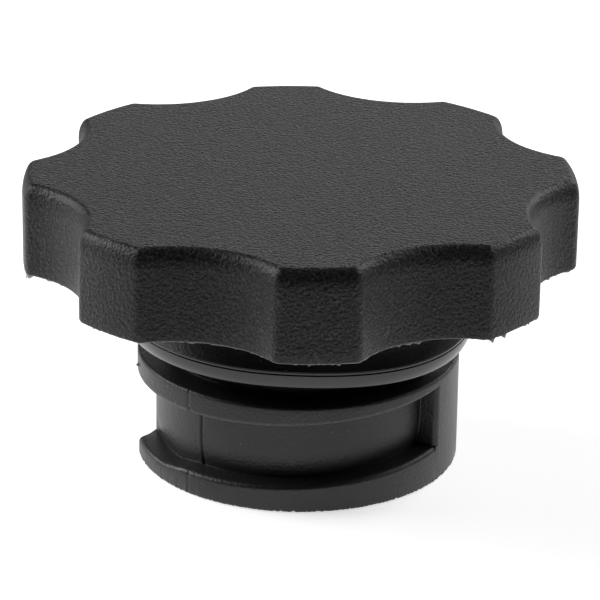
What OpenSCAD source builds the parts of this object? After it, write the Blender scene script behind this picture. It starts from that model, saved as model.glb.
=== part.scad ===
// Oil filler cap: a lobed grip cover, a bayonet neck and the rubber seal ring between them.
// Millimetres. The foot of the neck is at z = 0, the cap's axis is Z, the flat top of the grip
// is uppermost, and one lobe of the grip lies on +X. Angles are counted from +X, seen from above.

/* [Grip cover] */
// Diameter over the lobes
grip_d = 76; // [72:0.5:84]
// Number of lobes round the grip
lobes = 8; // [6:1:9]
// Depth of a finger scallop below the lobe circle
scallop_depth = 4.4; // [3:0.1:5]
// Radius of a finger scallop
scallop_r = 14.8; // [12:0.2:18]
// Radius of the upright corners of the lobes
lobe_corner_r = 1.8; // [1.6:0.1:2.4]
// Radius of the edge round the flat top
top_edge_r = 1.5; // [0.8:0.1:1.5]
// Bevel of the lower rim
rim_bevel = 0.3; // [0.1:0.1:0.6]
// Height of the cover, from its rim to its flat top
grip_h = 12.75; // [11.5:0.25:16]
// Thickness of the side wall
skirt_t = 2.4; // [1.8:0.1:3]
// Thickness of the flat top
top_t = 2.8; // [2:0.1:3.4]
// Radius of the upright corners inside the cover
inner_corner_r = 0.8; // [0.4:0.1:1.2]
// Thickness of a stiffening rib
rib_t = 1.6; // [1:0.1:2.4]

/* [Neck] */
// Outer diameter of the neck over its flanges
neck_d = 44.8; // [43:0.2:48]
// Depth of the bayonet grooves, from the flanges in to the tube
groove_depth = 2.6; // [2:0.1:3.2]
// Wall of the tube
tube_t = 2.3; // [1.6:0.1:3]
// Height of the top face of the upper flange above the foot
flange_top = 15.4; // [15:0.2:18]
// Width of the waist between the upper flange and the seal ring
waist_h = 3.5; // [2.5:0.25:5]
// How much the waist, on which the seal ring sits, is thinner than the tube
waist_depth = 0.6; // [0.2:0.1:0.8]
// Thickness of the plate that closes the neck
plate_t = 2.4; // [1.8:0.1:3]
// Bevel of the flange edges
flange_bevel = 0.4; // [0.2:0.1:0.6]
// Bevel inside the neck's mouth
mouth_bevel = 0.4; // [0.2:0.1:0.8]

/* [Shoulder and weld joint] */
// Height from the seal ring to the rim of the cover
shoulder_h = 7; // [6:0.2:9]
// How far the shoulder reaches up into the cover
shoulder_reach = 1.7; // [0.8:0.1:2.5]
// Thickness of the floor of the weld channel
channel_floor_t = 2.2; // [2:0.2:3.4]
// How much the shoulder narrows from its foot to its top
shoulder_taper = 2.2; // [1:0.1:2.3]
// Height of the upright lip at the shoulder's foot
lip_h = 0.6; // [0.4:0.1:1]
// Width of the weld channel, from the tube out to the shoulder's wall
channel_w = 1.3; // [1.2:0.05:1.4]
// Bevel of the shoulder's lower edge
shoulder_bevel = 0.3; // [0.1:0.05:0.5]
// Clearance on each side of the cover's weld ring in the channel
weld_gap = 0.15; // [0.1:0.05:0.2]
// Bevel of the weld ring's foot, which leads it into the channel
weld_bevel = 0.2; // [0.1:0.05:0.3]

/* [Bayonet grooves] */
// Height of a groove, from flange to flange
groove_h = 9; // [7.5:0.25:9.5]
// Thickness of the lower flange where the groove runs level
lower_flange_t = 3.4; // [2.6:0.1:4]
// How much the lower flange is thinned at its open end
lead_drop = 0.75; // [0.3:0.05:1.2]
// Angle over which the open end stays thin
lead_angle = 24; // [15:1:26]
// Angle from the open end to the start of the tightening ramp
dwell_angle = 36; // [30:1:45]
// Rise of the tightening ramp over its full angle
cam_rise = 1.95; // [0.8:0.05:2.1]
// Full angle of the tightening ramp
cam_angle = 105; // [95:1:130]
// Angle of the stop wall that ends the long groove
long_stop = 324.2; // [315:0.1:330]
// Distance from the axis to the flat that ends the long lower flange
entry_flat = 14; // [12.5:0.25:15.5]
// Angle of the mould parting plane, which the flat is parallel to
parting_angle = 45; // [40:1:50]
// Angle at which the wide entry begins
wide_entry_start = 148; // [146:0.5:155]
// Angle at which the narrow entry begins
narrow_entry_start = 0; // [-4:0.5:4]
// Angular width of the narrow entry
narrow_entry_w = 16; // [12:1:20]
// Angle of the stop wall that ends the short groove
short_stop = 141; // [130:0.5:142]

/* [Seal ring] */
// Width of the seal ring, from its bore out to the edge of the shoulder
seal_w = 4.85; // [4.35:0.05:5.4]
// Thickness of the seal ring
seal_t = 2.4; // [1.6:0.1:2.8]
// Clearance between the seal ring and the waist
seal_gap = 0.15; // [0.05:0.05:0.3]
// Bevel of the seal ring's outer edges
seal_bevel = 0.3; // [0.1:0.05:0.5]

/* [Hidden] */
$fn = 96;

// Steps along the curved parts of the cover's outline and of its rounded edge
scallop_steps = 8;
corner_steps = 3;
lobe_steps = 4;
edge_steps = 4;
// Angular step along a bayonet groove, and the power by which its ramp steepens
groove_step = 5;
cam_power = 1.5;
// Clearance between a rib and the shoulder below it
rib_gap = 0.5;
// How far cutters pass through a face, and how far joined pieces sink into each other
through = 2;
sink = 0.6;

neck_r = neck_d / 2;
tube_r = neck_r - groove_depth;
bore_r = tube_r - tube_t;
waist_r = tube_r - waist_depth;
seal_bore_r = waist_r + seal_gap;
seal_z = flange_top + waist_h;
shoulder_z = seal_z + seal_t;
shoulder_r = seal_bore_r + seal_w;
rim_z = shoulder_z + shoulder_h;
shoulder_top = rim_z + shoulder_reach;
channel_z = shoulder_z + channel_floor_t;
channel_r = tube_r + channel_w;
top_z = rim_z + grip_h;
ceiling_z = top_z - top_t;
grip_r = grip_d / 2;
scallop_bottom_r = grip_r - scallop_depth;
scallop_centre_r = scallop_bottom_r + scallop_r;
pitch = 360 / lobes;
weld_ring_in = tube_r + weld_gap;
weld_ring_out = channel_r - weld_gap;
entry_height = lower_flange_t + groove_h;
pull_angle = parting_angle + 90;
flat_angle = pull_angle + 90;
clear_r = 2 * neck_r;

function polar(r, a) = [r * cos(a), r * sin(a)];

// Points first to last of an arc of radius r about c, cut in equal steps from angle a0 to a1
function arc(c, r, a0, a1, steps, first, last) =
    [for (i = [first:last]) c + polar(r, a0 + (a1 - a0) * i / steps)];

// The cover's outline, drawn d inside its outer face, with lobe corners of radius rc.
// Each corner arc touches the lobe circle from inside and the scallop circle from outside.
function outline(d, rc) =
    let (rl = grip_r - d,
         rs = scallop_r + d,
         a = rl - rc,
         b = rs + rc,
         s = scallop_centre_r,
         g = acos((a * a + s * s - b * b) / (2 * a * s)),
         beta = acos((s * s + b * b - a * a) / (2 * s * b)),
         phi = atan2(-a * sin(g), s - a * cos(g)))
    [for (k = [0:lobes - 1])
        let (turn = (k + 0.5) * pitch)
        for (p = concat(
            arc(polar(a, turn - g), rc, turn - g, turn - phi, corner_steps, 0, corner_steps - 1),
            arc(polar(s, turn), rs, turn + 180 + beta, turn + 180 - beta, scallop_steps, 0, scallop_steps),
            arc(polar(a, turn + g), rc, turn + phi, turn + g, corner_steps, 1, corner_steps),
            arc([0, 0], rl, turn + g, turn + pitch - g, lobe_steps, 1, lobe_steps - 1)))
        p];

// Insets and heights of the cover's outer face, from below the rim up and over the rounded edge
cover_rings = concat(
    [[rim_bevel, rim_z - through], [rim_bevel, rim_z], [0, rim_z + rim_bevel]],
    [for (i = [0:edge_steps])
        let (t = 90 * i / edge_steps)
        [top_edge_r * (1 - cos(t)), top_z - top_edge_r * (1 - sin(t))]]);

// A closed solid lofted through the outline at each inset and height of the rings
module lofted_cover(rings) {
    loops = [for (ring = rings) outline(ring[0], lobe_corner_r - ring[0])];
    n = len(loops[0]);
    top = (len(rings) - 1) * n;
    polyhedron(
        points = [for (k = [0:len(rings) - 1]) for (p = loops[k]) [p[0], p[1], rings[k][1]]],
        faces = concat(
            [[for (i = [0:n - 1]) i]],
            [[for (i = [n - 1:-1:0]) top + i]],
            [for (k = [0:len(rings) - 2]) for (i = [0:n - 1])
                [k * n + i, (k + 1) * n + i, (k + 1) * n + (i + 1) % n]],
            [for (k = [0:len(rings) - 2]) for (i = [0:n - 1])
                [k * n + i, (k + 1) * n + (i + 1) % n, k * n + (i + 1) % n]]));
}

// A rib from the weld ring to the foot of a scallop, clear of the shoulder below it
module rib() {
    inner = weld_ring_out - sink;
    outer = scallop_bottom_r - skirt_t + sink;
    step_r = shoulder_r + rib_gap;
    rotate([90, 0, 0])
        linear_extrude(rib_t, center = true)
            polygon([[inner, ceiling_z + sink], [inner, shoulder_top + rib_gap],
                     [step_r, shoulder_top + rib_gap], [outer, rim_z + shoulder_reach / 2],
                     [outer, ceiling_z + sink]]);
}

// The ring under the cover that is welded into the neck's channel
module weld_ring() {
    rotate_extrude()
        polygon([[weld_ring_in + weld_bevel, channel_z], [weld_ring_out - weld_bevel, channel_z],
                 [weld_ring_out, channel_z + weld_bevel], [weld_ring_out, ceiling_z + sink],
                 [weld_ring_in, ceiling_z + sink], [weld_ring_in, channel_z + weld_bevel]]);
}

module grip_cover() {
    color([0.12, 0.12, 0.125]) {
        difference() {
            lofted_cover(cover_rings);
            translate([0, 0, rim_z - 2 * through])
                cylinder(h = 2 * through, r = grip_r + through);
            translate([0, 0, rim_z - through / 2])
                linear_extrude(ceiling_z - rim_z + through / 2)
                    polygon(outline(skirt_t, inner_corner_r));
        }
        weld_ring();
        for (k = [0:lobes - 1])
            rotate([0, 0, (k + 0.5) * pitch])
                rib();
    }
}

// Height that the groove has climbed, a degrees from the open end of its lower flange
function climb(a) =
    cam_rise * pow(max(0, min(1, (a - dwell_angle) / cam_angle)), cam_power);

// Thinning of the lower flange, a degrees from its open end
function thinning(a) =
    lead_drop * max(0, min(1, (dwell_angle - a) / (dwell_angle - lead_angle)));

// Cutter for a groove that starts in the middle of its entry and ends at a radial stop wall
module groove_cutter(entry_start, flange_start, stop) {
    inner = bore_r - through;
    outer = neck_r + through;
    start = (entry_start + flange_start) / 2;
    steps = ceil((stop - start) / groove_step);
    travel = [for (i = [0:steps]) start - flange_start + (stop - start) * i / steps];
    polyhedron(
        points = [for (a = travel)
            let (low = lower_flange_t + climb(a) - thinning(a),
                 high = lower_flange_t + groove_h + climb(a),
                 pin = polar(inner, flange_start + a),
                 pout = polar(outer, flange_start + a))
            each [[pin[0], pin[1], low], [pout[0], pout[1], low],
                  [pout[0], pout[1], high], [pin[0], pin[1], high]]],
        faces = concat(
            [[3, 2, 1, 0]],
            [[for (j = [0:3]) 4 * steps + j]],
            [for (i = [0:steps - 1]) for (j = [0:3])
                [4 * i + j, 4 * (i + 1) + (j + 1) % 4, 4 * (i + 1) + j]],
            [for (i = [0:steps - 1]) for (j = [0:3])
                [4 * i + j, 4 * i + (j + 1) % 4, 4 * (i + 1) + (j + 1) % 4]]));
}

// Cutter for an entry, open below, up to the roof of the groove that it leads to
module entry_cutter(points) {
    translate([0, 0, -through])
        linear_extrude(entry_height + through)
            polygon(points);
}

// The wide entry lies between a radial wall and the flat that ends the long lower flange
module wide_entry() {
    foot = polar(entry_flat, pull_angle);
    entry_cutter([polar(entry_flat / cos(wide_entry_start - pull_angle), wide_entry_start),
                  polar(clear_r, wide_entry_start),
                  foot + polar(clear_r, (pull_angle + flat_angle) / 2),
                  foot + polar(clear_r, flat_angle)]);
}

// The narrow entry lies between two radial walls
module narrow_entry() {
    entry_cutter([[0, 0],
                  polar(clear_r, narrow_entry_start),
                  polar(clear_r, narrow_entry_start + narrow_entry_w / 2),
                  polar(clear_r, narrow_entry_start + narrow_entry_w)]);
}

// The flanges: one grooved collar, cut back to the tube by the grooves and their entries
module flanges() {
    inner = (bore_r + waist_r) / 2;
    long_start = pull_angle + acos(entry_flat / neck_r);
    short_start = narrow_entry_start + narrow_entry_w;
    difference() {
        rotate_extrude()
            polygon([[inner, 0], [neck_r - flange_bevel, 0], [neck_r, flange_bevel],
                     [neck_r, flange_top - flange_bevel], [neck_r - flange_bevel, flange_top],
                     [inner, flange_top]]);
        groove_cutter(wide_entry_start, long_start, long_stop);
        wide_entry();
        groove_cutter(narrow_entry_start, short_start, short_stop);
        narrow_entry();
    }
}

// The tube, its closing plate and the shoulder with the weld channel, in one section
module neck_body() {
    rotate_extrude()
        polygon([[bore_r + mouth_bevel, 0], [tube_r, 0], [tube_r, flange_top],
                 [waist_r, flange_top], [waist_r, shoulder_z],
                 [shoulder_r - shoulder_bevel, shoulder_z],
                 [shoulder_r, shoulder_z + shoulder_bevel], [shoulder_r, shoulder_z + lip_h],
                 [shoulder_r - shoulder_taper, shoulder_top], [channel_r, shoulder_top],
                 [channel_r, channel_z],
                 [tube_r, channel_z], [tube_r, ceiling_z], [0, ceiling_z],
                 [0, ceiling_z - plate_t], [bore_r, ceiling_z - plate_t],
                 [bore_r, mouth_bevel]]);
}

module bayonet_neck() {
    color([0.13, 0.13, 0.135]) {
        neck_body();
        flanges();
    }
}

module seal_ring() {
    color([0.05, 0.05, 0.055])
        translate([0, 0, seal_z])
            rotate_extrude()
                polygon([[seal_bore_r, 0], [shoulder_r - seal_bevel, 0],
                         [shoulder_r, seal_bevel], [shoulder_r, seal_t - seal_bevel],
                         [shoulder_r - seal_bevel, seal_t], [seal_bore_r, seal_t]]);
}

grip_cover();
bayonet_neck();
seal_ring();
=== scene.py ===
"""Looks of the oil filler cap: its lobed grip cover, its bayonet neck and its rubber seal ring.

Every size is in millimetres in the frame of the CAD model: the foot of the neck is at height 0,
the cap's axis is Z, and one lobe of the grip lies on +X. Angles are in degrees from +X, seen from
above. Meshes are turned into metres where they are made.
"""

import logging
import math
from dataclasses import dataclass
from enum import Enum
from typing import Any

import bmesh
import bpy
import numpy as np
from mathutils import Matrix, Vector


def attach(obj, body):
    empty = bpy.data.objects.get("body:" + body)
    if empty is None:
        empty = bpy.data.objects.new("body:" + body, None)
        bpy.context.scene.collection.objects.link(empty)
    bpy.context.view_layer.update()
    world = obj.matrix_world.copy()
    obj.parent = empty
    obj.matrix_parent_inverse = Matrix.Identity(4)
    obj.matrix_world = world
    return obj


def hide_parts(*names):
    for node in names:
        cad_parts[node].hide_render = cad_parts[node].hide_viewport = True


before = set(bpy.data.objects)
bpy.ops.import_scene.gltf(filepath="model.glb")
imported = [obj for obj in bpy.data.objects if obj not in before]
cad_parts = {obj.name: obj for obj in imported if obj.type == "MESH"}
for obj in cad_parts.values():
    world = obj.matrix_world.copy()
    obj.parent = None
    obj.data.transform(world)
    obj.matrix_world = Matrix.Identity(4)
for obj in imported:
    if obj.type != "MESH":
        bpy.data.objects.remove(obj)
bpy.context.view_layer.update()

MM = 0.001
MERGE_MM = 0.002
SHARP_DEGREES = 35.0
# Sizes that more than one piece shares
SHOULDER_RADIUS = 24.2
SHOULDER_TOP = 30.0
CHANNEL_FLOOR = 23.5
# Pale edges: scuff on the flash, and a painted highlight where the edges catch the light
SCUFF_AND_HIGHLIGHT = "scuff_and_highlight"
# Socket numbers of a mix node that is set to colours
MIX_SHARE, MIX_FIRST, MIX_SECOND, MIX_RESULT = 0, 6, 7, 2

log = logging.getLogger("oil_filler_cap")


class Slot(Enum):
    """Material slots that the record names."""

    GRAINED_NYLON = "grained_nylon"
    SATIN_NYLON = "satin_nylon"
    SEAL_RUBBER = "seal_rubber"


def linear_colour(code: str) -> tuple[float, float, float, float]:
    """Turns an sRGB hex colour into a linear one.

    Args:
        code: Six hex digits.

    Returns:
        Red, green, blue and an alpha of 1.
    """
    channels = [int(code[k : k + 2], 16) / 255 for k in (0, 2, 4)]
    linear = [c / 12.92 if c <= 0.04045 else ((c + 0.055) / 1.055) ** 2.4 for c in channels]
    return (linear[0], linear[1], linear[2], 1.0)


def add_node(
    tree: bpy.types.NodeTree,
    kind: str,
    settings: dict[str, Any] | None = None,
    inputs: dict[str | int, Any] | None = None,
) -> bpy.types.Node:
    """Adds a node with its settings, its input values and the links into it.

    Args:
        tree: The tree that takes the node.
        kind: The node's type.
        settings: Properties of the node.
        inputs: For each input, by name or number, a value or the output that feeds it.

    Returns:
        The new node.
    """
    node = tree.nodes.new(kind)
    for name, value in (settings or {}).items():
        setattr(node, name, value)
    for key, value in (inputs or {}).items():
        if isinstance(value, bpy.types.NodeSocket):
            tree.links.new(value, node.inputs[key])
        else:
            node.inputs[key].default_value = value
    return node


def per_metre(size_mm: float) -> float:
    """Gives the texture scale whose features measure size_mm."""
    return 1 / (size_mm * MM)


def new_material(name: str) -> tuple[bpy.types.Material, bpy.types.NodeTree]:
    """Makes an empty node material.

    Args:
        name: The material's name.

    Returns:
        The material and its empty node tree.
    """
    material = bpy.data.materials.new(name)
    material.use_nodes = True
    material.node_tree.nodes.clear()
    return material, material.node_tree


@dataclass(frozen=True)
class GrainedNylon:
    """Black glass-filled nylon, moulded against a spark-eroded steel face.

    The eroded steel leaves a coarse gritty grain that breaks every reflection up, so the eye sees a
    dry dark grey with small soft glints and no mirror image. The grain's width is the real one. Its
    height is more than the real one, because the noise uses only the middle of its range. Its colour
    is a random mottle that is also painted light on the fine grain's crests and painted shade in its
    pits, and its glints are painted highlights of pale colour.
    """

    colour: str = "060607"
    # Painted light and shade: this colour lights the fine grain's crests, the base colour shades its
    # pits, and the glint colour paints small highlights
    painted_crest_light_colour: str = "363637"
    glint_colour: str = "5a5a58"
    scuff_and_highlight_colour: str = "b8b8b4"
    roughness: float = 0.5
    ior: float = 1.53
    specular: float = 0.26
    grain_mm: float = 0.45
    grain_height_mm: float = 0.54
    grain_range: tuple[float, float] = (0.2, 0.8)
    fine_grain_mm: float = 0.3
    fine_height_mm: float = 0.15
    painted_crest_light_range: tuple[float, float] = (0.35, 0.65)
    glint_range: tuple[float, float] = (0.66, 0.76)
    wall_depth: float = 0.24
    edge_depth: float = 0.2
    wall_tilt: tuple[float, float] = (0.02, 0.3)
    top_tilt: tuple[float, float] = (0.96, 0.999)

    def depth(self, tree: bpy.types.NodeTree) -> bpy.types.NodeSocket:
        """Gives the grain's depth: full on the top, less on drawn walls, least on rounded edges.

        Args:
            tree: The node tree that the nodes go into.

        Returns:
            The socket with the share of the full depth.
        """
        facing = add_node(tree, "ShaderNodeTexCoord").outputs["Normal"]
        upward = add_node(tree, "ShaderNodeSeparateXYZ", inputs={"Vector": facing}).outputs["Z"]
        share: Any = self.wall_depth
        for tilt, next_share in ((self.wall_tilt, self.edge_depth), (self.top_tilt, 1.0)):
            share = add_node(
                tree,
                "ShaderNodeMapRange",
                inputs={
                    "Value": upward,
                    "From Min": tilt[0],
                    "From Max": tilt[1],
                    "To Min": share,
                    "To Max": next_share,
                },
            ).outputs["Result"]
        return share

    def build(self) -> bpy.types.Material:
        """Builds the material with its grain and the pale look of its flash, part scuff and part painted
        highlight.

        Returns:
            The material.
        """
        material, tree = new_material("spark_eroded_black_nylon")
        place = add_node(tree, "ShaderNodeTexCoord").outputs["Object"]
        depth = self.depth(tree)
        coarse = add_node(
            tree,
            "ShaderNodeTexNoise",
            inputs={"Vector": place, "Scale": per_metre(self.grain_mm), "Detail": 1.0},
        ).outputs["Fac"]
        fine = add_node(
            tree,
            "ShaderNodeTexNoise",
            inputs={"Vector": place, "Scale": per_metre(self.fine_grain_mm), "Detail": 1.0},
        ).outputs["Fac"]
        # The fine noise that lifts the fine bump also paints its crests lighter and its pits darker, and
        # paints glints on its highest crests
        lumps, glint, painted_crest_light = (
            add_node(
                tree,
                "ShaderNodeMapRange",
                inputs={"Value": noise, "From Min": span[0], "From Max": span[1]},
            ).outputs["Result"]
            for noise, span in (
                (coarse, self.grain_range),
                (fine, self.glint_range),
                (fine, self.painted_crest_light_range),
            )
        )
        relief = add_node(
            tree,
            "ShaderNodeBump",
            inputs={"Height": lumps, "Distance": self.grain_height_mm * MM, "Strength": depth},
        ).outputs["Normal"]
        relief = add_node(
            tree,
            "ShaderNodeBump",
            inputs={
                "Height": fine,
                "Distance": self.fine_height_mm * MM,
                "Strength": depth,
                "Normal": relief,
            },
        ).outputs["Normal"]
        scuff_and_highlight = add_node(tree, "ShaderNodeAttribute", {"attribute_name": SCUFF_AND_HIGHLIGHT}).outputs["Fac"]
        shown: Any = linear_colour(self.colour)
        # Painted crest light and pit shade, then painted glints, then the flash's pale scuff and painted
        # highlight
        for share, code in (
            (painted_crest_light, self.painted_crest_light_colour),
            (glint, self.glint_colour),
            (scuff_and_highlight, self.scuff_and_highlight_colour),
        ):
            shown = add_node(
                tree,
                "ShaderNodeMix",
                {"data_type": "RGBA"},
                {MIX_SHARE: share, MIX_FIRST: shown, MIX_SECOND: linear_colour(code)},
            ).outputs[MIX_RESULT]
        shader = add_node(
            tree,
            "ShaderNodeBsdfPrincipled",
            inputs={
                "Base Color": shown,
                "Roughness": self.roughness,
                "IOR": self.ior,
                "Specular IOR Level": self.specular,
                "Normal": relief,
            },
        )
        add_node(tree, "ShaderNodeOutputMaterial", inputs={"Surface": shader.outputs["BSDF"]})
        return material


@dataclass(frozen=True)
class SatinNylon:
    """Black glass-filled nylon, moulded against fine stoned steel.

    Its skin is smooth enough to hold a soft sheen, which brightens where the neck turns away from
    the eye, and carries specks of glass near the surface. The skin and the specks are drawn as
    coarse as they need to be to show.
    """

    colour: str = "171718"
    speck_colour: str = "6d6d6b"
    scuff_and_highlight_colour: str = "8f8f8c"
    roughness: float = 0.46
    ior: float = 1.53
    specular: float = 0.42
    skin_mm: float = 0.42
    skin_height_mm: float = 0.07
    flow_mm: float = 9.0
    flow_distortion: float = 0.6
    flow_roughness: float = 0.07
    speck_mm: float = 1.1
    speck_edge: tuple[float, float] = (0.06, 0.1)
    speck_share: float = 0.2

    def build(self) -> bpy.types.Material:
        """Builds the material with its fine skin, flow marks and specks.

        Returns:
            The material.
        """
        material, tree = new_material("stoned_black_nylon")
        place = add_node(tree, "ShaderNodeTexCoord").outputs["Object"]
        skin = add_node(
            tree,
            "ShaderNodeTexNoise",
            inputs={"Vector": place, "Scale": per_metre(self.skin_mm), "Detail": 1.0},
        ).outputs["Fac"]
        flow = add_node(
            tree,
            "ShaderNodeTexNoise",
            inputs={
                "Vector": place,
                "Scale": per_metre(self.flow_mm),
                "Detail": 4.0,
                "Distortion": self.flow_distortion,
            },
        ).outputs["Fac"]
        gloss = add_node(
            tree,
            "ShaderNodeMapRange",
            inputs={
                "Value": flow,
                "To Min": self.roughness - self.flow_roughness,
                "To Max": self.roughness + self.flow_roughness,
            },
        ).outputs["Result"]
        cells = add_node(
            tree,
            "ShaderNodeTexVoronoi",
            inputs={"Vector": place, "Scale": per_metre(self.speck_mm)},
        ).outputs
        dot = add_node(
            tree,
            "ShaderNodeMapRange",
            inputs={
                "Value": cells["Distance"],
                "From Min": self.speck_edge[0],
                "From Max": self.speck_edge[1],
                "To Min": 1.0,
                "To Max": 0.0,
            },
        ).outputs["Result"]
        draw = add_node(tree, "ShaderNodeSeparateColor", inputs={"Color": cells["Color"]}).outputs["Red"]
        chosen = add_node(
            tree, "ShaderNodeMath", {"operation": "LESS_THAN"}, {0: draw, 1: self.speck_share}
        ).outputs["Value"]
        speck = add_node(
            tree, "ShaderNodeMath", {"operation": "MULTIPLY"}, {0: dot, 1: chosen}
        ).outputs["Value"]
        relief = add_node(
            tree,
            "ShaderNodeBump",
            inputs={"Height": skin, "Distance": self.skin_height_mm * MM, "Strength": 1.0},
        ).outputs["Normal"]
        # The scuffed bead is painted pale, which also paints the highlight of the flange's lower edge
        scuff_and_highlight = add_node(tree, "ShaderNodeAttribute", {"attribute_name": SCUFF_AND_HIGHLIGHT}).outputs["Fac"]
        shown: Any = linear_colour(self.colour)
        for share, code in ((speck, self.speck_colour), (scuff_and_highlight, self.scuff_and_highlight_colour)):
            shown = add_node(
                tree,
                "ShaderNodeMix",
                {"data_type": "RGBA"},
                {MIX_SHARE: share, MIX_FIRST: shown, MIX_SECOND: linear_colour(code)},
            ).outputs[MIX_RESULT]
        shader = add_node(
            tree,
            "ShaderNodeBsdfPrincipled",
            inputs={
                "Base Color": shown,
                "Roughness": gloss,
                "IOR": self.ior,
                "Specular IOR Level": self.specular,
                "Normal": relief,
            },
        )
        add_node(tree, "ShaderNodeOutputMaterial", inputs={"Surface": shader.outputs["BSDF"]})
        return material


@dataclass(frozen=True)
class SealRubber:
    """Black nitrile rubber from a polished mould.

    Rubber of this kind is darker than the nylon and has a soft gloss, so the ring shows as one
    bright line where its rounded edge faces the light.
    """

    colour: str = "18181a"
    roughness: float = 0.27
    ior: float = 1.52
    skin_mm: float = 0.5
    skin_height_mm: float = 0.004

    def build(self) -> bpy.types.Material:
        """Builds the material.

        Returns:
            The material.
        """
        material, tree = new_material("moulded_nitrile_rubber")
        place = add_node(tree, "ShaderNodeTexCoord").outputs["Object"]
        skin = add_node(
            tree,
            "ShaderNodeTexNoise",
            inputs={"Vector": place, "Scale": per_metre(self.skin_mm), "Detail": 2.0},
        ).outputs["Fac"]
        relief = add_node(
            tree,
            "ShaderNodeBump",
            inputs={"Height": skin, "Distance": self.skin_height_mm * MM, "Strength": 1.0},
        ).outputs["Normal"]
        shader = add_node(
            tree,
            "ShaderNodeBsdfPrincipled",
            inputs={
                "Base Color": linear_colour(self.colour),
                "Roughness": self.roughness,
                "IOR": self.ior,
                "Normal": relief,
            },
        )
        add_node(tree, "ShaderNodeOutputMaterial", inputs={"Surface": shader.outputs["BSDF"]})
        return material


def mesh_from_rows(
    name: str,
    rows: np.ndarray,
    scuff_and_highlight: np.ndarray | None = None,
    ring: bool = True,
    joined: bool = False,
) -> bpy.types.Mesh:
    """Makes a mesh from rows of points that run round or along a shell.

    Args:
        name: The mesh's name.
        rows: Points in millimetres, as an array of rows, points and coordinates.
        scuff_and_highlight: The pale scuff and painted edge highlight of each point, 0 to 1.
        ring: Whether each row closes on itself.
        joined: Whether the last row joins the first.

    Returns:
        The mesh, with points in one place merged and faces turned outwards.
    """
    row_count, around = rows.shape[:2]
    index = np.arange(row_count * around).reshape(row_count, around)
    faces: list[tuple[int, ...]] = []
    for i in range(row_count if joined else row_count - 1):
        near = index[i]
        far = index[(i + 1) % row_count]
        for j in range(around if ring else around - 1):
            k = (j + 1) % around
            faces.append((near[j], near[k], far[k], far[j]))
    mesh = bpy.data.meshes.new(name)
    mesh.from_pydata((rows.reshape(-1, 3) * MM).tolist(), [], faces)
    scuffed_and_lit = mesh.attributes.new(SCUFF_AND_HIGHLIGHT, "FLOAT", "POINT")
    values = np.zeros(row_count * around) if scuff_and_highlight is None else scuff_and_highlight.reshape(-1)
    scuffed_and_lit.data.foreach_set("value", values.astype(np.float32))
    return tidy_mesh(mesh)


def tidy_mesh(mesh: bpy.types.Mesh) -> bpy.types.Mesh:
    """Merges points that share a place and turns the faces outwards.

    Args:
        mesh: The mesh, which is changed.

    Returns:
        The same mesh.
    """
    work = bmesh.new()
    work.from_mesh(mesh)
    bmesh.ops.remove_doubles(work, verts=work.verts, dist=MERGE_MM * MM)
    bmesh.ops.recalc_face_normals(work, faces=work.faces)
    work.to_mesh(mesh)
    work.free()
    return mesh


def joined_mesh(name: str, parts: list[bpy.types.Mesh]) -> bpy.types.Mesh:
    """Puts several meshes into one.

    Args:
        name: The new mesh's name.
        parts: The meshes, which are removed.

    Returns:
        The new mesh.
    """
    work = bmesh.new()
    for part in parts:
        work.from_mesh(part)
    mesh = bpy.data.meshes.new(name)
    work.to_mesh(mesh)
    work.free()
    for part in parts:
        bpy.data.meshes.remove(part)
    return mesh


def plain_mesh(piece: bpy.types.Object, name: str) -> bpy.types.Mesh:
    """Turns an object with its modifiers into a plain mesh and removes the object.

    Args:
        piece: The object with modifiers.
        name: The new mesh's name.

    Returns:
        The evaluated mesh.
    """
    bpy.context.view_layer.update()
    graph = bpy.context.evaluated_depsgraph_get()
    mesh = bpy.data.meshes.new_from_object(
        piece.evaluated_get(graph), preserve_all_data_layers=True, depsgraph=graph
    )
    mesh.name = name
    source = piece.data
    bpy.data.objects.remove(piece)
    if source.users == 0:
        bpy.data.meshes.remove(source)
    return mesh


def placed(name: str, mesh: bpy.types.Mesh) -> bpy.types.Object:
    """Links an object that holds the mesh into the scene.

    Args:
        name: The object's name.
        mesh: Its mesh.

    Returns:
        The object.
    """
    piece = bpy.data.objects.new(name, mesh)
    bpy.context.scene.collection.objects.link(piece)
    return piece


def finished_piece(
    name: str, mesh: bpy.types.Mesh, material: bpy.types.Material
) -> bpy.types.Object:
    """Makes the final piece of a mesh and enters it in the frame.

    Args:
        name: The piece's name, which is also that of the CAD node that it stands for.
        mesh: The piece's mesh.
        material: Its finish.

    Returns:
        The piece.
    """
    mesh.materials.clear()
    mesh.materials.append(material)
    mesh.shade_smooth()
    mesh.set_sharp_from_angle(angle=math.radians(SHARP_DEGREES))
    draft = placed(name + "_draft", mesh)
    weigh = draft.modifiers.new("weighted_normals", "WEIGHTED_NORMAL")
    weigh.keep_sharp = True
    piece = placed(name + "_looks", plain_mesh(draft, name + "_looks"))
    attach(piece, "root")
    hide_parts(name)
    log.info("%s: %d points, %d faces", piece.name, len(piece.data.vertices), len(piece.data.polygons))
    return piece


def arc_points(
    centre: tuple[Any, Any], radius: Any, start: float, end: float, steps: int
) -> list[tuple[Any, Any]]:
    """Gives points on an arc in a section, where centre and radius may be arrays.

    Args:
        centre: Its centre as radius and height.
        radius: Its radius.
        start: The first angle in degrees.
        end: The last angle in degrees.
        steps: The number of steps.

    Returns:
        Pairs of radius and height.
    """
    angles = [math.radians(start + (end - start) * k / steps) for k in range(steps + 1)]
    return [(centre[0] + radius * math.cos(a), centre[1] + radius * math.sin(a)) for a in angles]


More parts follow.
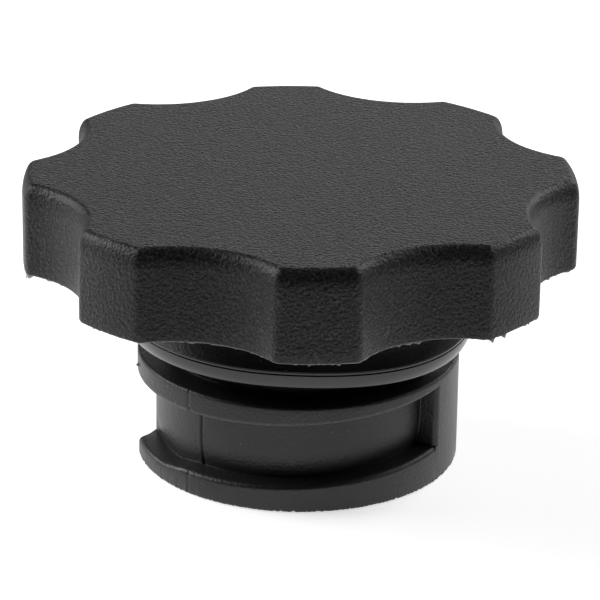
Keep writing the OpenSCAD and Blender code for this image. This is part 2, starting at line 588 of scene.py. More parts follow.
def smooth_noise(count: int, width: float, seed: int) -> np.ndarray:
    """Makes noise round a closed ring.

    Args:
        count: The number of samples.
        width: The width in samples over which the noise is smoothed.
        seed: The seed of the random draws.

    Returns:
        Samples with a mean of 0 and a deviation of 1.
    """
    draws = np.random.default_rng(seed).normal(size=count)
    waves = np.fft.rfft(draws)
    waves *= np.exp(-((np.arange(len(waves)) * width / count) ** 2))
    noise = np.fft.irfft(waves, count)
    noise -= noise.mean()
    return noise / noise.std()


def bell(places: np.ndarray, centre: float, spread: float) -> np.ndarray:
    """Gives a smooth bump of height 1 at the centre."""
    return np.exp(-(((places - centre) / spread) ** 2))


def polar_pattern(
    name: str, mesh: bpy.types.Mesh, count: int, first_angle: float, material: bpy.types.Material
) -> bpy.types.Mesh:
    """Repeats a mesh round the cap's axis with Geometry Nodes.

    Args:
        name: The name of the tree and of the new mesh.
        mesh: The mesh that is repeated.
        count: The number of copies.
        first_angle: The angle of the first copy.
        material: The finish of the copies.

    Returns:
        A plain mesh with all the copies.
    """
    tree = bpy.data.node_groups.new(name, "GeometryNodeTree")
    face = tree.interface
    face.new_socket("Shape", in_out="INPUT", socket_type="NodeSocketGeometry")
    count_in = face.new_socket("Count", in_out="INPUT", socket_type="NodeSocketInt")
    angle_in = face.new_socket("First angle", in_out="INPUT", socket_type="NodeSocketFloat")
    finish_in = face.new_socket("Finish", in_out="INPUT", socket_type="NodeSocketMaterial")
    face.new_socket("Shape", in_out="OUTPUT", socket_type="NodeSocketGeometry")
    given = tree.nodes.new("NodeGroupInput").outputs
    pitch = add_node(tree, "ShaderNodeMath", {"operation": "DIVIDE"}, {0: math.tau, 1: given["Count"]})
    number = add_node(tree, "GeometryNodeInputIndex")
    turn = add_node(
        tree,
        "ShaderNodeMath",
        {"operation": "MULTIPLY_ADD"},
        {0: number.outputs[0], 1: pitch.outputs[0], 2: given["First angle"]},
    )
    rotation = add_node(tree, "ShaderNodeCombineXYZ", inputs={"Z": turn.outputs[0]})
    spots = add_node(tree, "GeometryNodePoints", inputs={"Count": given["Count"]})
    copies = add_node(
        tree,
        "GeometryNodeInstanceOnPoints",
        inputs={
            "Points": spots.outputs[0],
            "Instance": given["Shape"],
            "Rotation": rotation.outputs[0],
        },
    )
    real = add_node(tree, "GeometryNodeRealizeInstances", inputs={"Geometry": copies.outputs[0]})
    dressed = add_node(
        tree,
        "GeometryNodeSetMaterial",
        inputs={"Geometry": real.outputs[0], "Material": given["Finish"]},
    )
    add_node(tree, "NodeGroupOutput", inputs={0: dressed.outputs[0]})

    piece = placed(name, mesh)
    pattern = piece.modifiers.new(name, "NODES")
    pattern.node_group = tree
    pattern[count_in.identifier] = count
    pattern[angle_in.identifier] = math.radians(first_angle)
    pattern[finish_in.identifier] = material
    return plain_mesh(piece, name + "_all")


@dataclass
class GripCover:
    """The grip cover: a lobed shell with a flat top, a thin skirt and ribs under its top."""

    material: bpy.types.Material
    diameter: float = 76.0
    lobes: int = 8
    scallop_depth: float = 4.4
    scallop_radius: float = 14.8
    lobe_corner: float = 1.8
    top_edge: float = 1.5
    edge_fall: float = 2.8
    top_rings: tuple[float, ...] = (0.0, 0.35, 0.7, 0.93)
    rim_bevel: float = 0.3
    skirt: float = 2.4
    inner_corner: float = 0.8
    top_thickness: float = 2.8
    rib_thickness: float = 1.6
    rib_round: float = 0.35
    rim_z: float = 28.3
    top_z: float = 41.05
    weld_ring_in: float = 19.95
    weld_ring_out: float = 20.95
    weld_ring_foot: float = CHANNEL_FLOOR
    weld_ring_bevel: float = 0.2
    weld_ring_steps: int = 144
    shoulder_radius: float = SHOULDER_RADIUS
    shoulder_top: float = SHOULDER_TOP
    rib_gap: float = 0.5
    rib_sink: float = 0.6
    ceiling_fillet: float = 0.6
    ceiling_steps: int = 3
    ceiling_ease: float = 0.5
    ceiling_rings: tuple[float, ...] = (0.6, 0.0)
    flash_samples: int = 2400
    flash_reach: float = 0.32
    flash_width_mm: float = 0.45
    flash_stretches: int = 24
    flash_even: float = 0.35
    flash_limits: tuple[float, float] = (0.1, 1.2)
    flash_peak: float = 4.0
    flash_power: float = 1.5
    flash_splay: float = 0.5
    flash_pale: float = 0.75
    flash_pale_gain: float = 1.4
    flash_seed: int = 11
    burr_angles: tuple[float, ...] = (307.8, 311.2)
    burr_reach: float = 0.5
    burr_spread: float = 0.5
    corner_steps: int = 8
    scallop_steps: int = 44
    lobe_steps: int = 34
    edge_steps: int = 8
    wall_steps: int = 8
    # Each row under the rim: its inset and height in shares of the bevel, and its share of the flash
    rim_rows: tuple[tuple[float, float, float], ...] = (
        (0.3, 0.3, 0.0),
        (0.45, 0.15, 0.5),
        (0.6, 0.0, 1.0),
        (0.9, 0.0, 0.9),
        (1.2, 0.02, 0.25),
        (1.8, 0.0, 0.0),
    )

    @property
    def radius(self) -> float:
        """Radius over the lobes."""
        return self.diameter / 2

    @property
    def pitch(self) -> float:
        """Angle from lobe to lobe."""
        return 360 / self.lobes

    @property
    def ceiling_z(self) -> float:
        """Height of the ceiling inside the cover."""
        return self.top_z - self.top_thickness

    def sector(self, inset: float, corner: float) -> np.ndarray:
        """Gives the outline over one pitch, from the middle of a lobe to the middle of the next.

        Args:
            inset: How far inside the outer face it runs.
            corner: The radius of the lobe corners.

        Returns:
            Points as an array of x and y.
        """
        lobe = self.radius - inset
        scallop = self.scallop_radius + inset
        centre = self.radius - self.scallop_depth + self.scallop_radius
        reach = lobe - corner
        span = scallop + corner
        turn = math.radians(self.pitch / 2)
        aside = math.acos((reach**2 + centre**2 - span**2) / (2 * reach * centre))
        half_arc = math.acos((centre**2 + span**2 - reach**2) / (2 * centre * span))
        meet = math.atan2(-reach * math.sin(aside), centre - reach * math.cos(aside))

        def run(
            origin: tuple[float, float], radius: float, start: float, end: float, steps: int
        ) -> np.ndarray:
            """Gives the points of one arc, without its last point."""
            angles = start + (end - start) * np.arange(steps) / steps
            return np.array(origin) + radius * np.stack([np.cos(angles), np.sin(angles)], axis=1)

        low = (reach * math.cos(turn - aside), reach * math.sin(turn - aside))
        high = (reach * math.cos(turn + aside), reach * math.sin(turn + aside))
        middle = (centre * math.cos(turn), centre * math.sin(turn))
        inward = turn + math.pi
        half = self.lobe_steps // 2
        return np.concatenate(
            [
                run((0, 0), lobe, 0, turn - aside, half),
                run(low, corner, turn - aside, turn - meet, self.corner_steps),
                run(middle, scallop, inward + half_arc, inward - half_arc, self.scallop_steps),
                run(high, corner, turn + meet, turn + aside, self.corner_steps),
                run((0, 0), lobe, turn + aside, 2 * turn, half),
                np.array([[lobe * math.cos(2 * turn), lobe * math.sin(2 * turn)]]),
            ]
        )

    def ring(self, inset: float, corner: float, z: float, shrink: float = 1.0) -> np.ndarray:
        """Gives the points of one row of the shell over one pitch."""
        flat = self.sector(inset, corner) * shrink
        return np.column_stack([flat, np.full(len(flat), z)])

    def shell_rows(self) -> tuple[np.ndarray, np.ndarray]:
        """Lists the rows of one sector of the shell, from the top's centre out and back inside.

        Returns:
            The rows, and for each row its share of the flash.
        """
        rows: list[np.ndarray] = []
        flash: list[float] = []

        def add(inset: float, corner: float, z: float, shrink: float = 1.0, share: float = 0.0) -> None:
            """Adds one row."""
            rows.append(self.ring(inset, corner, z, shrink))
            flash.append(share)

        edge = self.top_edge
        for shrink in self.top_rings:
            add(edge, self.lobe_corner - edge, self.top_z, shrink)
        for k in range(self.edge_steps + 1):
            t = math.radians(90 - 90 * k / self.edge_steps)
            inset = edge * (1 - math.cos(t))
            add(inset, self.lobe_corner - inset, self.top_z - self.edge_fall * (1 - math.sin(t)))
        wall_top = self.top_z - self.edge_fall
        wall_foot = self.rim_z + self.rim_bevel
        for k in range(1, self.wall_steps + 1):
            add(0, self.lobe_corner, wall_top + (wall_foot - wall_top) * k / self.wall_steps)
        bevel = self.rim_bevel
        for step_in, lift, share in self.rim_rows:
            inset = bevel * step_in
            add(inset, self.lobe_corner - inset, self.rim_z + bevel * lift, share=share)
        add(self.skirt - bevel, self.inner_corner + bevel, self.rim_z)
        add(self.skirt, self.inner_corner, self.rim_z + bevel)
        fillet = self.ceiling_fillet
        add(self.skirt, self.inner_corner, self.ceiling_z - fillet)
        for k in range(1, self.ceiling_steps + 1):
            t = math.radians(90 * k / self.ceiling_steps)
            inset = fillet * (1 - math.cos(t))
            corner = self.inner_corner + inset * self.ceiling_ease
            add(self.skirt + inset, corner, self.ceiling_z - fillet * (1 - math.sin(t)))
        corner = self.inner_corner + fillet * self.ceiling_ease
        for shrink in self.ceiling_rings:
            add(self.skirt + fillet, corner, self.ceiling_z, shrink)
        return np.array(rows), np.array(flash)

    def shell(self) -> bpy.types.Mesh:
        """Builds the lobed shell, one sector repeated round the axis, with the flash on its rim.

        Returns:
            The shell's mesh.
        """
        rows, flash = self.shell_rows()
        scuff_and_highlight = np.repeat(flash[:, None], rows.shape[1], axis=1)
        sector = mesh_from_rows("cover_sector", rows, scuff_and_highlight, ring=False)
        whole = tidy_mesh(polar_pattern("lobed_shell", sector, self.lobes, 0.0, self.material))
        self.raise_flash(whole)
        return whole

    def flash_heights(self) -> np.ndarray:
        """Works out how far the flash and its burrs hang down, at even steps round the rim.

        Returns:
            The heights.
        """
        samples, even = self.flash_samples, self.flash_even
        width = self.flash_width_mm * samples / (math.pi * self.diameter)
        fine = smooth_noise(samples, width, self.flash_seed)
        slow = smooth_noise(samples, samples / self.flash_stretches, self.flash_seed + 1)
        spikes = np.clip(fine, 0, self.flash_peak) ** self.flash_power
        stretches = np.clip(even + even * slow, *self.flash_limits)
        height = self.flash_reach * stretches * (even + (1 - even) * spikes)
        round_rim = np.arange(samples) * 360 / samples
        for angle in self.burr_angles:
            height += self.burr_reach * bell(round_rim, angle, self.burr_spread)
        return height

    def raise_flash(self, mesh: bpy.types.Mesh) -> None:
        """Draws the rim's flash down into an uneven thin lip where the mesh marks it, and paints it pale
        as scuff and as painted highlight.

        Args:
            mesh: The shell's mesh, which is changed.
        """
        samples, height = self.flash_samples, self.flash_heights()
        count = len(mesh.vertices)
        points = np.zeros(count * 3)
        mesh.vertices.foreach_get("co", points)
        points = points.reshape(-1, 3)
        share = np.zeros(count)
        mesh.attributes[SCUFF_AND_HIGHLIGHT].data.foreach_get("value", share)
        place = (np.arctan2(points[:, 1], points[:, 0]) / math.tau % 1) * samples
        drop = np.interp(place, np.arange(samples + 1), np.append(height, height[0]))
        radius = np.hypot(points[:, 0], points[:, 1])
        out = 1 + share * drop * self.flash_splay * MM / np.maximum(radius, MM)
        points[:, :2] *= out[:, None]
        points[:, 2] -= share * drop * MM
        mesh.vertices.foreach_set("co", points.reshape(-1))
        # The flash is painted paler the lower it hangs: scuff, and a painted highlight where the lip
        # catches the light
        pale = self.flash_pale + self.flash_pale_gain * drop / self.flash_reach
        scuffed_and_lit = np.clip(share * pale, 0, 1)
        mesh.attributes[SCUFF_AND_HIGHLIGHT].data.foreach_set("value", scuffed_and_lit.astype(np.float32))

    def ribs(self) -> bpy.types.Mesh:
        """Builds the ribs that run from the weld ring to the foot of each scallop.

        Returns:
            A mesh with all the ribs.
        """
        inner = self.weld_ring_out - self.rib_sink
        outer = self.radius - self.scallop_depth - self.skirt + self.rib_sink
        step = self.shoulder_radius + self.rib_gap
        foot = self.shoulder_top + self.rib_gap
        lift = (self.shoulder_top - self.rim_z) / 2
        section = [
            (inner, self.ceiling_z + self.rib_sink),
            (inner, foot),
            (step, foot),
            (outer, self.rim_z + lift),
            (outer, self.ceiling_z + self.rib_sink),
        ]
        work = bmesh.new()
        half = self.rib_thickness / 2
        corners = [work.verts.new(Vector((r, -half, z)) * MM) for r, z in section]
        side = work.faces.new(corners)
        grown = bmesh.ops.extrude_face_region(work, geom=[side])
        moved = [v for v in grown["geom"] if isinstance(v, bmesh.types.BMVert)]
        bmesh.ops.translate(work, verts=moved, vec=Vector((0, self.rib_thickness * MM, 0)))
        bmesh.ops.recalc_face_normals(work, faces=work.faces)
        bmesh.ops.bevel(
            work,
            geom=list(work.edges),
            offset=self.rib_round * MM,
            segments=3,
            profile=0.5,
            affect="EDGES",
            clamp_overlap=True,
        )
        rib = bpy.data.meshes.new("rib")
        work.to_mesh(rib)
        work.free()
        return polar_pattern("ribs", rib, self.lobes, self.pitch / 2, self.material)

    def weld_ring(self) -> bpy.types.Mesh:
        """Builds the ring under the top that is welded into the neck's channel.

        Returns:
            The ring's mesh.
        """
        foot, bevel = self.weld_ring_foot, self.weld_ring_bevel
        section = [
            (self.weld_ring_in, self.ceiling_z + self.rib_sink),
            (self.weld_ring_in, foot + bevel),
            (self.weld_ring_in + bevel, foot),
            (self.weld_ring_out - bevel, foot),
            (self.weld_ring_out, foot + bevel),
            (self.weld_ring_out, self.ceiling_z + self.rib_sink),
        ]
        return mesh_from_rows("weld_ring", turned(section, self.weld_ring_steps), joined=True)

    def build(self) -> bpy.types.Object:
        """Builds and dresses the cover."""
        mesh = joined_mesh("cover", [self.shell(), self.ribs(), self.weld_ring()])
        return finished_piece("grip_cover", mesh, self.material)


def turned(section: list[tuple[float, float]], around: int) -> np.ndarray:
    """Turns a section round the cap's axis.

    Args:
        section: Pairs of radius and height.
        around: The number of points round the axis.

    Returns:
        Rows of points, one for each point of the section.
    """
    angles = np.arange(around) * math.tau / around
    radii = np.array([p[0] for p in section])[:, None]
    heights = np.array([p[1] for p in section])[:, None]
    return np.stack(
        [radii * np.cos(angles), radii * np.sin(angles), heights + 0 * angles[None, :]], axis=2
    )


def blended(first: float, second: float, larger: bool, width: float = 0.05) -> float:
    """Gives the larger or smaller of two radii, with a rounded change from one to the other.

    Args:
        first: The first radius.
        second: The second radius.
        larger: Whether the larger radius is wanted.
        width: How wide the rounded change is.

    Returns:
        The blended radius.
    """
    sign = 1 if larger else -1
    middle, half = (first + second) / 2, abs(first - second) / 2
    return middle + sign * (half + width * math.log1p(math.exp(-2 * half / width)) / 2)


@dataclass(frozen=True)
class Hang:
    """How far the seal ring and the foot of the shoulder hang lower on one side of the neck."""

    depth: float = 0.95
    angle: float = 318.0
    spread: float = 60.0

    def at(self, angles: np.ndarray) -> np.ndarray:
        """Gives the drop at each angle in degrees."""
        turn = (angles - self.angle + 180) % 360 - 180
        return self.depth * np.cos(np.clip(turn / self.spread, -1, 1) * math.pi / 2) ** 2


@dataclass(frozen=True)
class Groove:
    """One bayonet groove with the entry that leads to it, as angles."""

    entry: float
    start: float
    stop: float


@dataclass
class BayonetNeck:
    """The neck: a tube with two grooved flanges, a shoulder, a weld channel and a closing plate."""

    material: bpy.types.Material
    outer: float = 22.4
    tube: float = 19.8
    waist: float = 19.2
    waist_lean: float = 1.0
    bore: float = 17.5
    flange_top: float = 15.4
    lower_flange: float = 3.4
    groove_height: float = 9.0
    lead_drop: float = 0.75
    lead_angle: float = 24.0
    dwell_angle: float = 36.0
    cam_rise: float = 1.95
    cam_angle: float = 105.0
    cam_power: float = 1.5
    short: Groove = Groove(entry=0.0, start=16.0, stop=141.0)
    long: Groove = Groove(entry=148.0, start=186.32, stop=324.2)
    between_grooves: float = 1.0
    entry_flat: float = 14.0
    entry_flat_from: float = 178.5
    entry_flat_points: int = 21
    parting_angle: float = 45.0
    shoulder: float = SHOULDER_RADIUS
    shoulder_z: float = 21.3
    shoulder_top: float = SHOULDER_TOP
    shoulder_taper: float = 2.2
    # Each row of the hollow shoulder: its share of the taper, its height and its share of the hang
    shoulder_rows: tuple[tuple[float, float, float], ...] = (
        (0.48, 1.6, 1.0),
        (0.22, 3.2, 1.0),
        (0.07, 5.2, 0.0),
    )
    lip: float = 0.08
    channel: float = 21.1
    channel_z: float = CHANNEL_FLOOR
    ceiling_z: float = 38.25
    plate: float = 2.4
    plate_fillet: float = 1.0
    plate_ring: float = 0.6
    small_bevel: float = 0.2
    bore_bevel: float = 0.4
    edge_round: float = 0.7
    foot_round: float = 0.3
    foot_rough: float = 0.14
    foot_rough_width: float = 1.2
    bead: float = 0.12
    # Pale share of the bead: scuff, and a painted highlight of the flange's lower edge
    bead_scuff_and_highlight: float = 0.6
    bead_scuff_and_highlight_change: float = 0.12
    bead_scuff_and_highlight_width: float = 1.5
    wall_fillet: float = 0.15
    floor_fillet: float = 0.05
    floor_margin: float = 0.1
    floor_lean: float = 0.6
    floor_lean_height: float = 4.5
    floor_lean_steps: int = 6
    wall_draft: float = 0.06
    flange_top_round: float = 0.5
    shoulder_round: float = 0.05
    seam_depth: float = 0.09
    witness: float = 0.3
    line_width: float = 0.3
    line_slope: float = 1.5
    angle_step: float = 0.5
    nick: float = 0.75
    nick_angle: float = 225.7
    nick_spread: float = 0.7
    nub: float = 0.42
    nub_angle: float = 186.2
    nub_spread: float = 0.8
    # Each row on the upper flange's face: its share of the face's height and of the nub
    nub_rows: tuple[tuple[float, float], ...] = ((0.2, 0.0), (0.35, 1.0), (0.5, 0.0))
    rough_seed: int = 5
    seam: float = -18.0
    hang: Hang = Hang()

    def wall(self, angle: float, rising: bool) -> list[tuple[float, float]]:
        """Gives the knots of a radial wall between the tube and the outer face.

        Args:
            angle: The wall's angle.
            rising: Whether the radius grows with the angle.

        Returns:
            Pairs of angle and radius, in order of angle.
        """
        fillet, edge, depth = self.wall_fillet, self.edge_round, self.outer - self.tube
        turns = [math.radians(90 * k / 4) for k in range(5)]
        path = [(-fillet * (1 - math.sin(t)), fillet * (1 - math.cos(t))) for t in turns]
        path += [
            (self.wall_draft + edge * (1 - math.cos(t)), depth - edge * (1 - math.sin(t))) for t in turns
        ]
        sign = 1 if rising else -1
        knots = [(angle + sign * math.degrees(s / self.outer), self.tube + h) for s, h in path]
        return knots if rising else knots[::-1]

    def knots(self) -> tuple[list[tuple[float, float]], list[tuple[float, float]]]:
        """Lists how the radius of the groove's floor and of the lower flange change with the angle.

        Returns:
            Pairs of angle and radius for the floor, and the same for the lower flange.
        """
        ends = ([(self.seam, self.outer)], [(self.seam + 360, self.outer)])
        fall = self.wall(self.short.entry, False)
        fall_wide = self.wall(self.long.entry, False)
        floor = ends[0] + fall + self.wall(self.short.stop, True) + fall_wide
        floor += self.wall(self.long.stop, True) + ends[1]
        pull = self.parting_angle + 90
        flat = []
        for k in range(self.entry_flat_points):
            a = self.entry_flat_from + self.angle_step * k
            reach = self.entry_flat / math.cos(math.radians(a - pull))
            flat.append((a, blended(blended(reach, self.tube, True), self.outer, False)))
        lower = ends[0] + fall + self.wall(self.short.start, True) + fall_wide + flat + ends[1]
        return floor, lower

    def rise(self, angle: np.ndarray, groove: Groove) -> tuple[np.ndarray, np.ndarray]:
        """Gives the heights of a groove's lower and upper side.

        Args:
            angle: Angles round the neck.
            groove: The groove.

        Returns:
            The lower and the upper heights.
        """
        travel = angle - groove.start
        climbed = np.clip((travel - self.dwell_angle) / self.cam_angle, 0, 1)
        climb = self.cam_rise * climbed**self.cam_power
        lead = self.dwell_angle - self.lead_angle
        thin = self.lead_drop * np.clip((self.dwell_angle - travel) / lead, 0, 1)
        return self.lower_flange + climb - thin, self.lower_flange + self.groove_height + climb

    def build(self) -> bpy.types.Object:
        """Builds and dresses the neck.

        Returns:
            The neck's piece.
        """
        floor_knots, lower_knots = self.knots()
        width = math.degrees(self.line_width / self.outer)
        lines = [self.parting_angle, self.parting_angle + 180]
        stations = {line + width * k / 2 for line in lines for k in range(-3, 4)}
        stations |= {self.nick_angle + self.nick_spread * k / 2 for k in range(-5, 6)}
        stations |= {self.nub_angle + self.nub_spread * k / 2 for k in range(-5, 6)}
        stations |= {round(a, 5) for a, _ in floor_knots[:-1] + lower_knots[:-1]}
        stations |= set(np.arange(self.seam, self.seam + 360, self.angle_step).tolist())
        angles = np.array(sorted(stations))
        floor = np.interp(angles, [a for a, _ in floor_knots], [r for _, r in floor_knots])
        lower = np.interp(angles, [a for a, _ in lower_knots], [r for _, r in lower_knots])
        low, high = self.groove_sides(angles)
        parting = sum(bell(angles, line, width / self.line_slope) for line in lines)
        grooved = floor < self.tube + self.floor_margin
        points, shares = self.section(
            floor=floor - self.witness * parting * grooved,
            lower=lower,
            low=low,
            high=high + self.nick * bell(angles, self.nick_angle, self.nick_spread),
            ridge=-self.seam_depth * parting,
            nub=self.nub * bell(angles, self.nub_angle, self.nub_spread),
            drop=self.hang.at(angles),
        )
        radii = np.array([np.broadcast_to(r, len(angles)) for r, _ in points])
        heights = np.array([np.broadcast_to(z, len(angles)) for _, z in points])
        turn = np.radians(angles)
        rows = np.stack([radii * np.cos(turn), radii * np.sin(turn), heights], axis=2)
        # Pale bead under the upper flange: scuff, and a painted highlight of its edge
        rough = smooth_noise(len(angles), self.bead_scuff_and_highlight_width, self.rough_seed)
        scuffed_and_lit = self.bead_scuff_and_highlight + self.bead_scuff_and_highlight_change * rough
        scuff_and_highlight = np.clip(np.array(shares)[:, None] * scuffed_and_lit[None, :], 0, 1) * grooved
        mesh = mesh_from_rows("neck", rows, scuff_and_highlight, joined=True)
        return finished_piece("bayonet_neck", mesh, self.material)

    def groove_sides(self, angles: np.ndarray) -> tuple[np.ndarray, np.ndarray]:
        """Gives the heights of the lower and upper side of whichever groove lies at each angle.

        Args:
            angles: Angles round the neck.

        Returns:
            The lower and the upper heights, with an even change between the grooves.
        """
        short_low, short_high = self.rise(angles, self.short)
        long_low, long_high = self.rise(angles, self.long)
        gap = self.between_grooves
        stops = [self.short.stop + gap, self.long.entry - gap]
        share = np.clip((angles - stops[0]) / (stops[1] - stops[0]), 0, 1)
        low = short_low * (1 - share) + long_low * share
        high = short_high * (1 - share) + long_high * share
        end = self.long.stop + gap
        back = np.clip((angles - end) / (self.seam + 360 - end), 0, 1)
        return low * (1 - back) + short_low[0] * back, high * (1 - back) + short_high[0] * back

    def section(
        self,
        floor: np.ndarray,
        lower: np.ndarray,
        low: np.ndarray,
        high: np.ndarray,
        ridge: np.ndarray,
        nub: np.ndarray,
        drop: np.ndarray,
    ) -> tuple[list[tuple[Any, Any]], list[float]]:
        """Gives the closed section of the neck for every angle at once.

        Args:
            floor: The radius of the groove's floor.
            lower: The radius of the lower flange.
            low: The height of the groove's lower side.
            high: The height of the groove's upper side.
            ridge: How far the parting line stands out of the outer faces, less than 0 for a groove.
            nub: How far a nub stands out of the upper flange.
            drop: How far the shoulder's foot hangs lower.

        Returns:
            Pairs of radius and height, each a number or an array over the angles, and the share of
            pale edge, scuff and painted highlight, for each pair.
        """
        points: list[tuple[Any, Any]] = []
        shares: list[float] = []

        def add(path: list[tuple[Any, Any]], share: float = 0.0) -> None:
            """Adds some points with their share of pale edge, scuff and painted highlight."""
            points.extend(path)
            shares.extend([share] * len(path))

        fillet = self.wall_fillet
        lower_depth = np.maximum(lower - floor, 0)
        upper_depth = np.maximum(self.outer - floor, 0)
        lower_edge = np.minimum(self.edge_round, lower_depth / 2)
        lower_fillet = np.minimum(self.floor_fillet, lower_depth / 2)
        upper_fillet = np.minimum(fillet, upper_depth / 2)
        bead = np.minimum(self.bead, upper_depth / 6)
        outer, lower_out = self.outer + ridge, lower + ridge
        foot = self.foot_round
        rough = self.foot_rough * smooth_noise(len(floor), self.foot_rough_width, self.rough_seed + 1)
        inside = self.bore + self.bore_bevel
        add([(self.bore, self.bore_bevel), (inside, 0.0), (lower_out - 3 * foot, 0.0)])
        add(arc_points((lower_out - foot - np.abs(rough), foot), foot, -90, -20, 4))
        add([(lower_out, foot * 1.5)])
        add(arc_points((lower_out - lower_edge, low - lower_edge), lower_edge, 0, 90, 6))
        lean = np.minimum(self.floor_lean, lower_depth / 4)
        floor_foot = floor - lean + lower_fillet
        add(arc_points((floor_foot, low + lower_fillet), lower_fillet, 270, 180, 8))
        lean_foot = low + 2 * self.floor_fillet
        for share in np.arange(1, self.floor_lean_steps + 1) / self.floor_lean_steps:
            add([(floor - lean * (1 - share) ** 2, lean_foot + self.floor_lean_height * share)])
        add(arc_points((floor + upper_fillet, high - upper_fillet), upper_fillet, 180, 90, 3))
        add([(outer - 3 * bead, high)])
        # The bead's share paints it pale: scuff, and a painted highlight of the edge
        add(arc_points((outer - bead, high), bead, 190, 360, 6), 0.5)
        add([(outer, high + 3 * bead)])
        top = self.flange_top_round
        face_foot, face_top = high + 3 * bead, self.flange_top - top
        for share, rise in self.nub_rows:
            add([(outer + nub * rise, face_foot + (face_top - face_foot) * share)])
        add(arc_points((outer - top, self.flange_top - top), top, 0, 90, 5))
        add(self.upper_section(drop))
        return points, shares

    def upper_section(self, drop: np.ndarray) -> list[tuple[Any, Any]]:
        """Gives the section from the waist over the shoulder, the channel and the closing plate.

        Args:
            drop: How far the shoulder's foot hangs lower.

        Returns:
            Pairs of radius and height.
        """
        fillet, bevel, soft = self.wall_fillet, self.small_bevel, self.shoulder_round
        foot, foot_z = self.waist - self.waist_lean, self.shoulder_z - drop
        path = arc_points((foot + fillet, self.flange_top + fillet), fillet, 270, 180, 3)
        path += [(self.waist, foot_z)]
        path += arc_points((self.shoulder - soft, foot_z + soft), soft, 270, 360, 4)
        path += [(self.shoulder, foot_z + self.lip)]
        top = self.shoulder - self.shoulder_taper
        for share, height, hang in self.shoulder_rows:
            level = self.shoulder_z - drop * hang + self.lip + height
            path += [(top + share * self.shoulder_taper, level)]
        path += [
            (top, self.shoulder_top - bevel),
            (top - bevel, self.shoulder_top),
            (self.channel + bevel, self.shoulder_top),
            (self.channel, self.shoulder_top - bevel),
            (self.channel, self.channel_z),
            (self.tube, self.channel_z),
            (self.tube, self.ceiling_z - bevel),
            (self.tube - bevel, self.ceiling_z),
            (0.0, self.ceiling_z),
        ]
        under, corner = self.ceiling_z - self.plate, self.plate_fillet
        path += [(0.0, under), (self.bore * self.plate_ring, under)]
        return path + arc_points((self.bore - corner, under - corner), corner, 90, 0, 4)


@dataclass
class SealRing:
    """The rubber ring round the tube, which hangs a little lower on one side."""

    material: bpy.types.Material
    inner: float = 19.35
    outer: float = SHOULDER_RADIUS
    foot_z: float = 18.9
    thickness: float = 2.4
    outer_round: float = 0.35
    edge_round: float = 0.06
    face_turn: float = 28.0
    face_radius: float = 3.4
    line_z: float = 2.03
    line_width: float = 0.14
    line_depth: float = 0.25
    inner_round: float = 0.2
    around: int = 360
    hang: Hang = Hang()

    def build(self) -> bpy.types.Object:
        """Builds and dresses the ring.

        Returns:
            The ring's piece.
        """
        foot, top = self.foot_z, self.foot_z + self.thickness
        big, edge, small = self.outer_round, self.edge_round, self.inner_round
        line, half = foot + self.line_z, self.line_width / 2
        bulge, turn = self.face_radius, math.radians(self.face_turn)
        face_top = foot + bulge * math.sin(turn) + big * (1 - math.sin(turn))
        corner = self.outer - (bulge - big) * (1 - math.cos(turn)) - big
        section = arc_points((corner, foot + big), big, -90, -self.face_turn, 5)
        section += arc_points((self.outer - bulge, face_top), bulge, -self.face_turn, 0, 8)[1:]
        section += arc_points((self.outer - edge, line - half - edge), edge, 0, 90, 4)
        section += [(self.outer - self.line_depth, z) for z in (line - half, line + half)]
        section += arc_points((self.outer - edge, line + half + edge), edge, -90, 0, 4)
        section += arc_points((self.outer - edge, top - edge), edge, 0, 90, 4)
        section += arc_points((self.inner + small, top - small), small, 90, 180, 3)
        section += arc_points((self.inner + small, foot + small), small, 180, 270, 3)
        rows = turned(section, self.around)
        rows[..., 2] -= self.hang.at(np.degrees(np.arctan2(rows[..., 1], rows[..., 0])))
        mesh = mesh_from_rows("seal", rows, joined=True)
        return finished_piece("seal_ring", mesh, self.material)


@dataclass(frozen=True)
class SoftBox:
    """A soft lamp that faces the middle of the cap."""

    name: str
    azimuth: float
    elevation: float
    power: float
    distance: float = 600.0
    width: float = 350.0
    height: float = 300.0


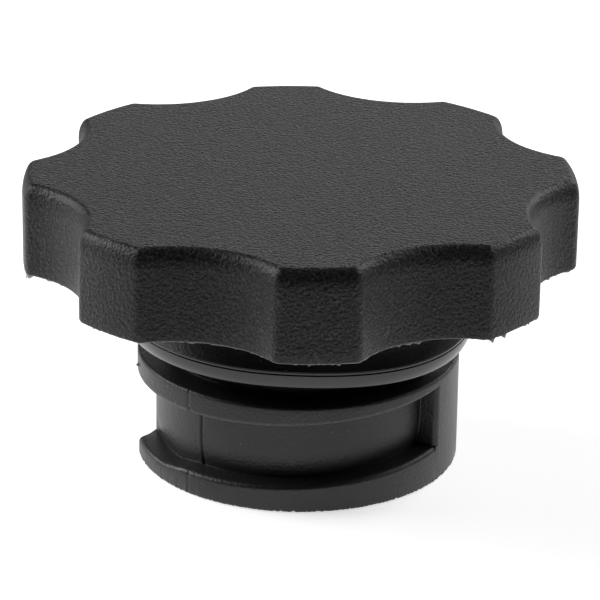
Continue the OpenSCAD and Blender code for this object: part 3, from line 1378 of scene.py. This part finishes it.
@dataclass
class Studio:
    """The white sweep, the soft lamps and the camera of a catalogue photo."""

    target: tuple[float, float, float] = (0.1157, -0.0077, 21.94)
    azimuth: float = 266.2
    elevation: float = 21.867
    distance: float = 463.07
    roll: float = 0.88
    lens: float = 200.6
    sensor: float = 36.0
    floor_size: float = 8000.0
    backdrop_glow: float = 0.62
    floor_glow: float = 0.93
    sweep_start: float = 88.0
    sweep_end: float = 150.0
    sweep_stretch: float = 2.0
    room_light: float = 0.0
    floor_colour: str = "f2f2f2"
    boxes: tuple[SoftBox, ...] = (
        SoftBox("left_box", azimuth=162.0, elevation=30.0, power=3.05),
        SoftBox("right_box", azimuth=356.0, elevation=40.0, power=0.75),
        SoftBox("right_back_box", azimuth=40.0, elevation=30.0, power=1.62),
        SoftBox("back_box", azimuth=86.0, elevation=10.0, power=0.44),
    )

    def direction(self, azimuth: float, elevation: float) -> Vector:
        """Gives the unit vector towards an azimuth and elevation in degrees."""
        turn, lift = math.radians(azimuth), math.radians(elevation)
        return Vector((math.cos(lift) * math.cos(turn), math.cos(lift) * math.sin(turn), math.sin(lift)))

    def camera(self) -> None:
        """Places the camera where the photo's perspective puts it."""
        back = self.direction(self.azimuth, self.elevation)
        level = self.direction(self.azimuth + 90, 0.0)
        up = back.cross(level)
        tilt = math.radians(self.roll)
        right = math.cos(tilt) * level + math.sin(tilt) * up
        above = back.cross(right)
        place = (Vector(self.target) + back * self.distance) * MM
        data = bpy.data.cameras.new("catalogue_camera")
        data.lens = self.lens
        data.sensor_width = self.sensor
        data.clip_start = 0.01
        data.clip_end = 10.0
        data.dof.use_dof = False
        eye = bpy.data.objects.new("catalogue_camera", data)
        eye.matrix_world = Matrix.Translation(place) @ Matrix((right, above, back)).transposed().to_4x4()
        bpy.context.scene.collection.objects.link(eye)
        bpy.context.scene.camera = eye

    def floor(self) -> None:
        """Lays the pale floor, which shows white, keeps the cap's shadow and is mirrored near it."""
        half = self.floor_size / 2 * MM
        corners = [(-half, -half, 0), (half, -half, 0), (half, half, 0), (-half, half, 0)]
        mesh = bpy.data.meshes.new("floor")
        mesh.from_pydata(corners, [], [(0, 1, 2, 3)])
        material, tree = new_material("white_card")
        pale = add_node(
            tree, "ShaderNodeBsdfDiffuse", inputs={"Color": linear_colour(self.floor_colour)}
        ).outputs[0]
        path = add_node(tree, "ShaderNodeLightPath").outputs
        place = add_node(tree, "ShaderNodeTexCoord").outputs["Object"]
        flat = add_node(
            tree,
            "ShaderNodeVectorMath",
            {"operation": "MULTIPLY"},
            {0: place, 1: (1 / self.sweep_stretch, 1.0, 0.0)},
        ).outputs["Vector"]
        away = add_node(tree, "ShaderNodeVectorMath", {"operation": "LENGTH"}, {0: flat}).outputs["Value"]
        swept = add_node(
            tree,
            "ShaderNodeMapRange",
            {"interpolation_type": "SMOOTHSTEP"},
            {
                "Value": away,
                "From Min": self.sweep_start * MM,
                "From Max": self.sweep_end * MM,
                "To Min": self.floor_glow,
                "To Max": 0.0,
            },
        ).outputs["Result"]
        mirrored = add_node(
            tree, "ShaderNodeMath", {"operation": "MULTIPLY"}, {0: path["Is Glossy Ray"], 1: swept}
        ).outputs["Value"]
        seen = add_node(
            tree,
            "ShaderNodeMath",
            {"operation": "MULTIPLY_ADD"},
            {0: path["Is Camera Ray"], 1: self.backdrop_glow, 2: mirrored},
        ).outputs["Value"]
        glow = add_node(tree, "ShaderNodeEmission", inputs={"Strength": seen}).outputs[0]
        both = add_node(tree, "ShaderNodeAddShader", inputs={0: pale, 1: glow}).outputs[0]
        add_node(tree, "ShaderNodeOutputMaterial", inputs={"Surface": both})
        mesh.materials.append(material)
        placed("floor", mesh)

    def world(self) -> None:
        """Sets the room's own light, which is off: only the lamps and the floor give light."""
        world = bpy.data.worlds.new("dark_room")
        world.use_nodes = True
        tree = world.node_tree
        tree.nodes.clear()
        sky = add_node(
            tree, "ShaderNodeBackground", inputs={"Color": (1, 1, 1, 1), "Strength": self.room_light}
        ).outputs[0]
        add_node(tree, "ShaderNodeOutputWorld", inputs={"Surface": sky})
        bpy.context.scene.world = world

    def lamps(self) -> None:
        """Hangs the soft boxes."""
        for box in self.boxes:
            data = bpy.data.lights.new(box.name, "AREA")
            data.shape = "RECTANGLE"
            data.size = box.width * MM
            data.size_y = box.height * MM
            data.energy = box.power
            lamp = bpy.data.objects.new(box.name, data)
            out = self.direction(box.azimuth, box.elevation)
            lamp.location = (Vector(self.target) + out * box.distance) * MM
            lamp.rotation_euler = out.to_track_quat("Z", "Y").to_euler()
            bpy.context.scene.collection.objects.link(lamp)

    def build(self) -> None:
        """Builds the studio."""
        self.camera()
        self.floor()
        self.world()
        self.lamps()
        bpy.context.scene.view_settings.view_transform = "Standard"


def main() -> None:
    """Builds the cap's pieces and the studio round them."""
    logging.basicConfig(level=logging.INFO, format="%(name)s: %(message)s")
    GripCover(material=GrainedNylon().build()).build()
    BayonetNeck(material=SatinNylon().build()).build()
    SealRing(material=SealRubber().build()).build()
    Studio().build()


if __name__ == "__main__":
    main()
